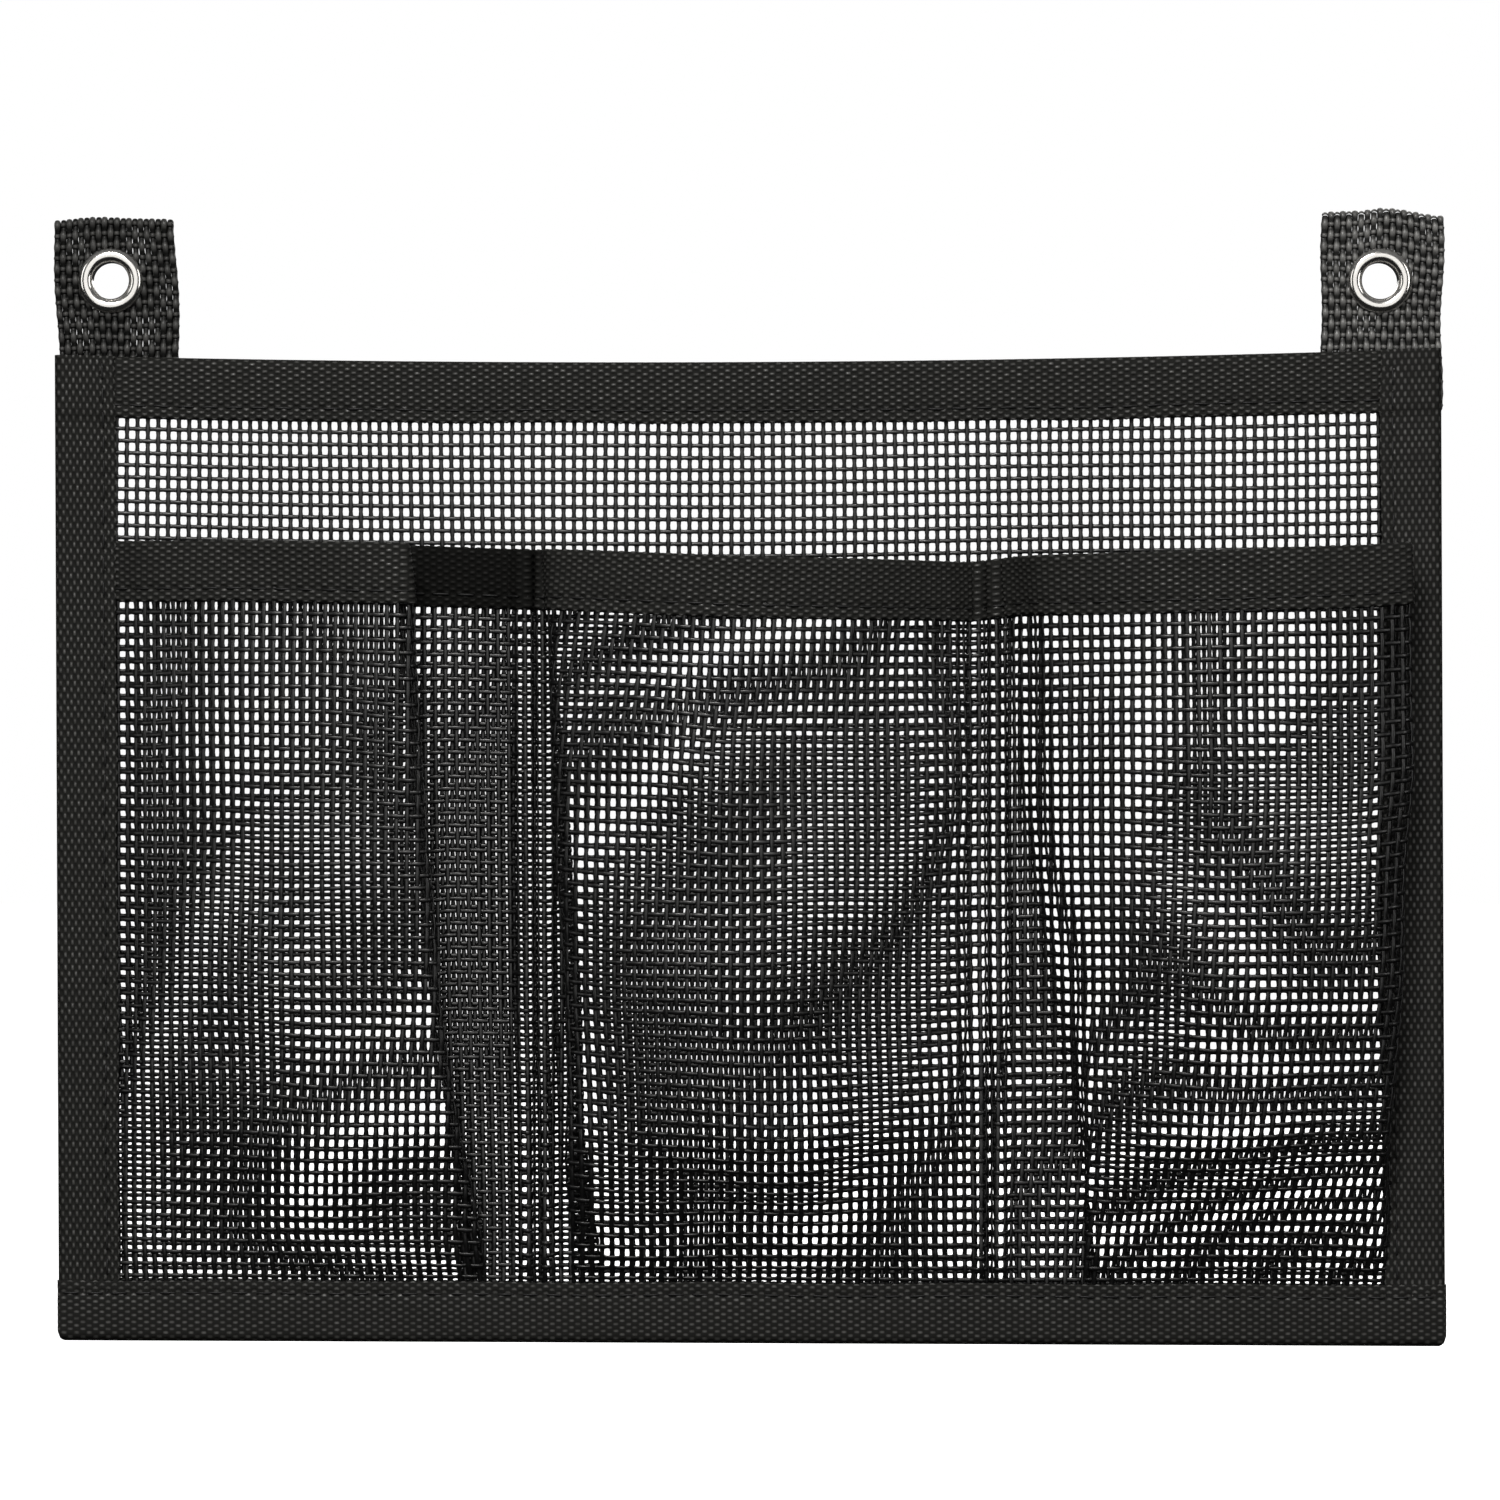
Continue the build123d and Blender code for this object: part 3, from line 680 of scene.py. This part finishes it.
def binding(name, corner, run, inward, length, swellings, corner_radius=0.0):
    """A tape folded over one edge of the panel.

    corner is where the edge starts, run and inward are unit vectors in the panel's plane, and each
    swelling is (start, end) along the run, where the tape passes over another.
    """
    along, across = np.meshgrid(
        grid_steps(length, TAPE_STEP_ALONG), grid_steps(FOLDED_WIDTH, TAPE_STEP_ACROSS), indexing="ij"
    )
    into, y, normal_in, normal_y = fold_profile(across)
    run, inward = np.array(run, float), np.array(inward, float)
    edge = ripples(along, along * 0, 38 * MM, EDGE_WANDER, 4)
    free = np.abs(np.cos(np.pi * across / FOLDED_WIDTH)) ** 6
    into = into + edge * free + EDGE_SCALLOP * free * np.cos(4 * np.pi * along / WEAVE_ALONG)
    swell = np.zeros_like(along)
    for start, end in swellings:
        middle, reach = (start + end) / 2, (end - start) / 2
        near = np.abs(along - middle)
        swell += smoothstep(reach + OVERLAP_SOFTNESS, reach - OVERLAP_SOFTNESS, near)
    if corner_radius:
        short = np.maximum(corner_radius - np.minimum(along, length - along), 0)
        into = np.maximum(into, corner_radius - np.sqrt(np.maximum(corner_radius**2 - short**2, 0)))
    normals = normal_in[..., None] * inward + normal_y[..., None] * np.array([0, 1, 0])
    centres = np.array(corner) + along[..., None] * run + into[..., None] * inward
    centres[..., 1] = y
    crown = TAPE_CROWN * np.sin(np.pi * np.clip(into / BINDING_WIDTH, 0, 1))
    waves = ripples(along, across, 26 * MM, TAPE_WAVE, 5)
    flat = np.abs(normal_y) ** 3
    centres += normals * ((swell * OVERLAP_RISE + crown + waves * (1 - free)) * flat)[..., None]
    lines = (STITCH_INSET, FOLDED_WIDTH - STITCH_INSET)
    relief = weave_relief(along, across) * flat - stitch_dent(along, across, lines)
    surface = hung(centres)
    leaves = slab(surface, normals, TAPE_THICKNESS / 2 + relief, TAPE_THICKNESS / 2)
    piece = new_object(name, *leaves, POLYESTER_TAPE)
    tape_lie(piece, along, across)
    return piece, surface, normals, across


def thread_runs(starts, ends, normals, lift):
    """Short raised stitches, each from a start to an end, diving into the cloth at both ends."""
    share = np.array([0, 0.08, 0.3, 0.5, 0.7, 0.92, 1.0])
    height = np.array([-0.35, 0.05, 0.9, 1.0, 0.9, 0.05, -0.35]) * lift
    centres = starts[:, None] + (ends - starts)[:, None] * share[None, :, None]
    centres = centres + normals[:, None] * height[None, :, None]
    along = np.gradient(centres, axis=1)
    across_normals = np.broadcast_to(normals[:, None], centres.shape)
    tangent = unit(along)
    upright = unit(across_normals - tangent * (across_normals * tangent).sum(-1, keepdims=True))
    radius = THREAD_RADIUS * np.array([0.7, 0.95, 1, 1, 1, 0.95, 0.7])
    return tubes(centres, tangent, upright, radius[None, :], radius[None, :] * 0.8, 6)


def stitches_on(surface, normals, lines, offset):
    """Stitches along columns of a grid, where offset is the cloth's depth over the grid."""
    parts = []
    for column in lines:
        path, out = surface[:, column], normals[:, column]
        length = np.concatenate([[0], np.cumsum(np.linalg.norm(np.diff(path, axis=0), axis=1))])
        starts = np.arange(1.2 * MM, length[-1] - STITCH_LENGTH, STITCH_PITCH)
        ends = starts + STITCH_LENGTH
        lifted = path + out * offset

        def at(place, field):
            return np.stack([np.interp(place, length, field[:, k]) for k in range(3)], axis=-1)

        middle = unit(at(starts + STITCH_LENGTH / 2, out))
        parts.append(thread_runs(at(starts, lifted), at(ends, lifted), middle, STITCH_LIFT))
    return joined(parts)


def nearest_column(across, place):
    return int(np.argmin(np.abs(across[0] - place)))


HEM_FOLD_RADIUS = 0.55 * MM
HEM_STEP_ALONG = 0.48 * MM
# Painted shade: the hem tape is painted darker between these x edges, where the strip lies less than
# RECESS_DEPTH forward.
RECESS_LEFT = (-76 * MM, -70 * MM)
RECESS_RIGHT = (-42 * MM, -46 * MM)
RECESS_DEPTH = 9 * MM


def hem_tape(strip):
    """The tape folded over the pocket strip's mouth, which follows the bays and the pleats."""
    s_values = np.linspace(0, strip.columns, round(strip.columns * MESH_COLUMN / HEM_STEP_ALONG))
    radius = HEM_FOLD_RADIUS
    leaf = HEM_WIDTH - radius
    width = 2 * leaf + math.pi * radius
    s, across = np.meshgrid(s_values, grid_steps(width, TAPE_STEP_ACROSS), indexing="ij")
    turn = np.clip((across - leaf) / radius, 0, np.pi)
    below = np.where(across < leaf, leaf - across, 0)
    below += np.where(turn >= np.pi, across - leaf - np.pi * radius, 0)
    along = s * MESH_COLUMN
    free = np.clip(below / leaf, 0, 1) ** 8
    below += free * EDGE_SCALLOP * np.cos(4 * np.pi * along / WEAVE_ALONG)
    below += free * ripples(along, along * 0, 30 * MM, 0.2 * MM, 4)
    points, normals, _, along_t = strip.at(s, strip.rows - below / MESH_ROW)
    up = unit(along_t)
    side = normals * np.cos(turn)[..., None] + up * np.sin(turn)[..., None]
    wave = ripples(along, across, 24 * MM, TAPE_WAVE, 5) * np.where(turn < 0.5, 1, 0)
    surface = points + side * (radius + wave)[..., None]
    lines = (STITCH_INSET, width - STITCH_INSET)
    relief = weave_relief(along, across) - stitch_dent(along, across, lines)
    leaves = slab(surface, side, TAPE_THICKNESS / 2 + relief, TAPE_THICKNESS / 2)
    piece = new_object("woven_hem_tape", *leaves, POLYESTER_TAPE)
    # Painted shade: the hem is painted darker where it lies back in the recess between the left and
    # middle bays.
    x, depth = points[..., 0], STRIP_PLANE - points[..., 1]
    between = smoothstep(*RECESS_LEFT, x) * smoothstep(*RECESS_RIGHT, x)
    tape_lie(piece, along, across, smoothstep(RECESS_DEPTH, 0, depth) * between)
    return piece, surface, side, across


# ---------------------------------------------------------------- webbing tabs
STRAP_WARP = 1.32 * MM
STRAP_WEFT = 2.47 * MM
STRAP_PLY = 1.15 * MM
STRAP_CRIMP = 0.4 * MM
STRAP_EDGE = 0.4 * MM
WARP_WIDTH, WARP_THICKNESS = 1.32 * MM, 0.72 * MM
WEFT_WIDTH, WEFT_THICKNESS = 0.9 * MM, 0.52 * MM
RINGS_PER_CROSSING = 6
STRAP_SIDES = 8
HOLE_MARGIN = 0.6 * MM
WARP_SWAY = 0.12 * MM
WEFT_SWAY = 0.14 * MM
SELVAGE_WAVE = 0.3 * MM
# Painted shade: the left tab's colour and gloss are painted darker all over, the right tab's not.
TAB_PAINTED_SHADE = {"left": 1.0, "right": 0.0}
TAB_LEANS = {"left": 1.1 * MM, "right": -0.4 * MM}


def tab_top(side, edge):
    """How far a tab's top edge lies above its own height, with edge from -1 to 1 across it."""
    if side == "left":
        return 0.4 * MM - 0.6 * MM * edge**2
    return -(0.8 * MM * smoothstep(0, -0.4, edge) + 1.9 * MM * smoothstep(0.1, 1.0, edge))


def webbing_tab(side):
    """A folded webbing tab, every warp and weft yarn of it, cut round the eyelet."""
    flap_low, flap_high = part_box(f"{side}_tab_flap")
    tail_low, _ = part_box(f"{side}_tab_tail")
    eyelet_low, eyelet_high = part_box(f"{side}_eyelet")
    eye = (eyelet_low + eyelet_high) / 2
    middle_y = (flap_low.y + flap_high.y) / 2
    radius = (flap_high.y - flap_low.y - STRAP_PLY) / 2
    straight = flap_high.z - STRAP_PLY / 2 - radius - tail_low.z
    length = 2 * straight + math.pi * radius
    width = flap_high.x - flap_low.x - 2 * STRAP_EDGE
    centre_x = (flap_low.x + flap_high.x) / 2
    phase = 2.0 if side == "left" else 0.0

    def place(across, along):
        """Point, outward normal and run of the strap at given places on it."""
        turn = np.clip((along - straight) / radius, 0, np.pi)
        up = np.minimum(along, straight)
        down = np.maximum(along - straight - np.pi * radius, 0)
        z = tail_low.z + up - down + radius * np.sin(turn)
        y = middle_y - radius * np.cos(turn)
        high = smoothstep(PANEL_TOP, flap_high.z, z)
        edge = across / (width / 2)
        sway = np.sin(along / (3.1 * MM) + across / (2.3 * MM)) * (1 - edge**2)
        across = across + WARP_SWAY * sway
        z = z + WEFT_SWAY * np.sin(across / (2.7 * MM) + along / (4.4 * MM))
        x = centre_x + across - TAB_LEANS[side] * high
        x = x + SELVAGE_WAVE * np.sin(z / (5 * MM) + phase) * edge
        points = np.stack([x, y, z + high * tab_top(side, edge)], axis=-1)
        zero = np.zeros_like(y)
        normals = np.stack([zero, -np.cos(turn), np.sin(turn)], axis=-1)
        run = np.stack([zero, np.sin(turn), np.cos(turn)], axis=-1)
        return points, normals, run

    ends, picks = round(width / STRAP_WARP), round(length / STRAP_WEFT)
    hole_radius = (eyelet_high.z - eyelet_low.z) / 2 - HOLE_MARGIN
    parts, heights = [], []
    for upright in (True, False):
        if upright:
            lines = (np.arange(ends) + 0.5 - ends / 2) * width / ends
            ring = np.linspace(0, length, picks * RINGS_PER_CROSSING + 1)
            crossings = ring / (length / picks)
            over, half_height = 1, WARP_THICKNESS / 2
        else:
            lines = (np.arange(picks) + 0.5) * length / picks
            ring = np.linspace(-width / 2, width / 2, ends * RINGS_PER_CROSSING + 1)
            crossings = (ring + width / 2) / (width / ends)
            over, half_height = -1, WEFT_THICKNESS / 2
        for number, line in enumerate(lines):
            fixed = np.full(len(ring), line)
            points, normals, run = place(fixed, ring) if upright else place(ring, fixed)
            wave = np.sin(np.pi * (crossings + number))
            lift = STRAP_CRIMP * wave if upright else -STRAP_CRIMP * 0.9 * wave
            if upright:
                half_width = WARP_WIDTH / 2 * (1 - 0.12 * (1 - wave**2))
                direction = run
            else:
                half_width = np.full(len(ring), WEFT_WIDTH / 2)
                direction = np.broadcast_to(np.array([1.0, 0, 0]), run.shape)
            centres = points + normals * lift[:, None]
            raised = np.arccos(np.clip(over * wave, -1, 1))
            outside = np.hypot(points[:, 0] - eye.x, points[:, 2] - eye.z) > hole_radius
            bounds = np.flatnonzero(np.diff(np.concatenate([[0], outside.astype(int), [0]])))
            for first, last in zip(bounds[::2], bounds[1::2]):
                if last - first < 3:
                    continue
                cut = slice(first, last)
                sized = half_width[cut].copy()
                sized[[0, -1]] *= 0.55
                yarn = (centres[None, cut], direction[None, cut], normals[None, cut])
                parts.append(tubes(*yarn, sized[None], half_height, STRAP_SIDES))
                heights.append(np.repeat(raised[cut], STRAP_SIDES))
    piece = new_object(f"{side}_webbing_tab", *joined(parts), WEBBING_YARN)
    lie(piece, np.concatenate(heights), 0, TAB_PAINTED_SHADE[side])
    return piece, (width, length)


# ---------------------------------------------------------------- building
TAPE_LAP = 3 * MM
CORNER_RADIUS = 2.5 * MM
PAST_END = 9 * MM
DIVIDER_THREAD_DEPTH = 0.45 * MM
TAB_STITCH_LENGTH = 2.4 * MM
TAB_STITCH_PITCH = 3.4 * MM


def binding_plans():
    """For each side's tape: its start, its run, the way in, its length, its swellings and its corner."""
    width, height = PANEL_RIGHT - PANEL_LEFT, PANEL_TOP - PANEL_BOTTOM
    side_length = height - TAPE_LAP
    side_foot = PANEL_BOTTOM + TAPE_LAP
    top_start = PANEL_LEFT + BINDING_WIDTH - TAPE_LAP
    top_length = width - 2 * BINDING_WIDTH + 2 * TAPE_LAP
    over_top = [(side_length - BINDING_WIDTH, side_length + PAST_END)]
    over_sides = [(-PAST_END, BINDING_WIDTH), (width - BINDING_WIDTH, width + PAST_END)]
    up, down, left, right = (0, 0, 1), (0, 0, -1), (-1, 0, 0), (1, 0, 0)
    return {
        "top": ((top_start, 0, PANEL_TOP), right, down, top_length, [], 0),
        "left": ((PANEL_LEFT, 0, side_foot), up, right, side_length, over_top, 0),
        "right": ((PANEL_RIGHT, 0, side_foot), up, left, side_length, over_top, 0),
        "bottom": ((PANEL_LEFT, 0, PANEL_BOTTOM), right, up, width, over_sides, CORNER_RADIUS),
    }


def tape_thread(name, surface, normals, across, width):
    """The two rows of stitches of a folded tape, one near each of its edges."""
    columns = [nearest_column(across, place) for place in (STITCH_INSET, width - STITCH_INSET)]
    return new_object(name, *stitches_on(surface, normals, columns, TAPE_THICKNESS / 2), SEWING_THREAD)


def divider_thread(side):
    """A divider's row of stitches, on the front of the strip and on the back of the panel."""
    low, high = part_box(f"{side}_divider_stitching")
    z = np.arange(low.z + 1 * MM, high.z - STITCH_LENGTH, STITCH_PITCH)
    x = np.full_like(z, (low.x + high.x) / 2)
    parts = []
    for plane, facing in ((STRIP_PLANE, -1), (MESH_PLANE, 1)):
        y = np.full_like(z, plane + facing * DIVIDER_THREAD_DEPTH)
        start = np.stack([x, y, z], axis=-1)
        normal = np.broadcast_to(np.array([0.0, facing, 0]), start.shape)
        parts.append(thread_runs(start, start + np.array([0, 0, STITCH_LENGTH]), normal, STITCH_LIFT))
    return new_object(f"{side}_divider_thread", *joined(parts), SEWING_THREAD)


def tab_thread(side):
    """The two rows of stitches that hold a tab's tail to the back of the panel."""
    low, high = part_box(f"{side}_tab_stitching")
    parts = []
    for z in (low.z + 0.25 * MM, high.z - 0.25 * MM):
        x = np.arange(low.x, high.x - 2 * MM, TAB_STITCH_PITCH)
        start = np.stack([x, np.full_like(x, high.y + 0.1 * MM), np.full_like(x, z)], axis=-1)
        normal = np.broadcast_to(np.array([0.0, 1, 0]), start.shape)
        parts.append(thread_runs(start, start + np.array([TAB_STITCH_LENGTH, 0, 0]), normal, 0.2 * MM))
    return new_object(f"{side}_tab_thread", *joined(parts), SEWING_THREAD)


def placed(piece, slot, *nodes):
    """A piece of the still panel, which takes the place of some CAD nodes."""
    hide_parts(*nodes)
    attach(piece, "root")
    return piece


back, strip = back_cloth(), strip_cloth()
back_piece = new_object("woven_back_mesh", *woven_mesh(back), COATED_YARN)
strip_piece = new_object("woven_pocket_strip", *woven_mesh(strip, STRIP_FULLNESS), COATED_YARN)
placed(back_piece, "mesh", "back_mesh_panel")
placed(strip_piece, "mesh", "pocket_mesh")

tapes, threads = [], []
for side, plan in binding_plans().items():
    tape, *sewing = binding(f"woven_{side}_binding", *plan)
    tapes.append(placed(tape, "binding_tape", f"{side}_binding"))
    thread = tape_thread(f"{side}_binding_thread", *sewing, FOLDED_WIDTH)
    threads.append(placed(thread, "thread", f"{side}_binding_stitching"))

hem, *sewing = hem_tape(strip)
placed(hem, "binding_tape", "pocket_hem_tape")
thread = tape_thread("hem_thread", *sewing, sewing[-1][0, -1])
threads.append(placed(thread, "thread", "pocket_hem_stitching"))

for side in ("left", "right"):
    threads.append(placed(divider_thread(side), "thread", f"{side}_divider_stitching"))

for side in ("left", "right"):
    strap, strap_size = webbing_tab(side)
    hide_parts(f"{side}_tab_flap", f"{side}_tab_tail")
    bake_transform(strap)
    placed(tab_thread(side), "thread", f"{side}_tab_stitching")
    for node in (f"{side}_eyelet", f"{side}_eyelet_washer"):
        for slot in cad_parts[node].material_slots:
            slot.material = PLATED_METAL

# ---------------------------------------------------------------- stage, light and camera
SURROUND_LIGHT = 0.015
OVERHEAD_LIGHT = 0.15
FRAME_WIDTH = 324.9 * MM
CAMERA_DISTANCE = 1.3
CAMERA_RISE = 5.4 * MM
FLOOR_REACH = 6.0
FLOOR_DROP = 60 * MM
SENSOR = 36.0
CENTRE = (cad_low + cad_high) / 2

# Each soft box's name, place from the object's centre, size, power and colour.
LIGHTS = (
    ("key", (-0.2, -1.1, 0.85), (0.42, 0.3), 13, (1.0, 0.985, 0.96)),
    ("left_side", (-1.1, -0.7, 0.3), (0.3, 0.8), 1.5, (1.0, 0.99, 0.97)),
    ("right_side", (1.1, -0.7, 0.3), (0.3, 0.8), 2.5, (1.0, 0.99, 0.97)),
    ("front_card", (0, -1.6, 0.2), (1.6, 1.4), 8, (1.0, 0.99, 0.975)),
    ("back_card", (0.5, 1.5, 0.7), (1.2, 1.0), 9, (1.0, 0.99, 0.975)),
)


def area_light(name, place, target, size, power, colour):
    """A soft box at a place, facing a target."""
    lamp = bpy.data.lights.new(name, "AREA")
    lamp.shape = "RECTANGLE"
    lamp.size, lamp.size_y = size
    lamp.energy = power
    lamp.color = colour
    holder = bpy.data.objects.new(name, lamp)
    holder.location = place
    holder.rotation_euler = (Vector(target) - Vector(place)).to_track_quat("-Z", "Y").to_euler()
    bpy.context.scene.collection.objects.link(holder)


def studio():
    """A white floor, a white backdrop all round that gives little light, and a ring of soft boxes."""
    corners = [(x * FLOOR_REACH, y * FLOOR_REACH) for x, y in ((-1, -1), (1, -1), (1, 1), (-1, 1))]
    level = cad_low.z - FLOOR_DROP
    floor = new_object("floor", [(x, y, level) for x, y in corners], [[0, 1, 2, 3]], pale_floor())
    floor.visible_diffuse = False
    floor.visible_glossy = False

    world = bpy.data.worlds.new("studio")
    bpy.context.scene.world = world
    world.use_nodes = True
    tree = world.node_tree
    background = tree.nodes["Background"]
    background.inputs["Color"].default_value = (1, 1, 1, 1)
    direction = tree.nodes.new("ShaderNodeSeparateXYZ")
    tree.links.new(tree.nodes.new("ShaderNodeTexCoord").outputs["Generated"], direction.inputs[0])
    overhead = tree.nodes.new("ShaderNodeMapRange")
    overhead.inputs["From Min"].default_value = 0.1
    overhead.inputs["From Max"].default_value = 0.8
    overhead.inputs["To Min"].default_value = SURROUND_LIGHT
    overhead.inputs["To Max"].default_value = OVERHEAD_LIGHT
    tree.links.new(direction.outputs["Z"], overhead.inputs["Value"])
    seen = tree.nodes.new("ShaderNodeMath")
    seen.operation = "MAXIMUM"
    tree.links.new(tree.nodes.new("ShaderNodeLightPath").outputs["Is Camera Ray"], seen.inputs[0])
    tree.links.new(overhead.outputs["Result"], seen.inputs[1])
    tree.links.new(seen.outputs["Value"], background.inputs["Strength"])

    for name, offset, size, power, colour in LIGHTS:
        area_light(name, CENTRE + Vector(offset), CENTRE, size, power, colour)


def camera():
    """A long lens straight in front, with the object's box a little below the picture's middle."""
    lens = bpy.data.cameras.new("camera")
    lens.sensor_width = SENSOR
    lens.lens = SENSOR * CAMERA_DISTANCE / FRAME_WIDTH
    lens.clip_end = 50
    holder = bpy.data.objects.new("camera", lens)
    holder.location = (CENTRE.x, -CAMERA_DISTANCE, CENTRE.z + CAMERA_RISE)
    holder.rotation_euler = (math.pi / 2, 0, 0)
    bpy.context.scene.collection.objects.link(holder)
    bpy.context.scene.camera = holder


studio()
camera()
bpy.context.scene.view_settings.view_transform = "Standard"
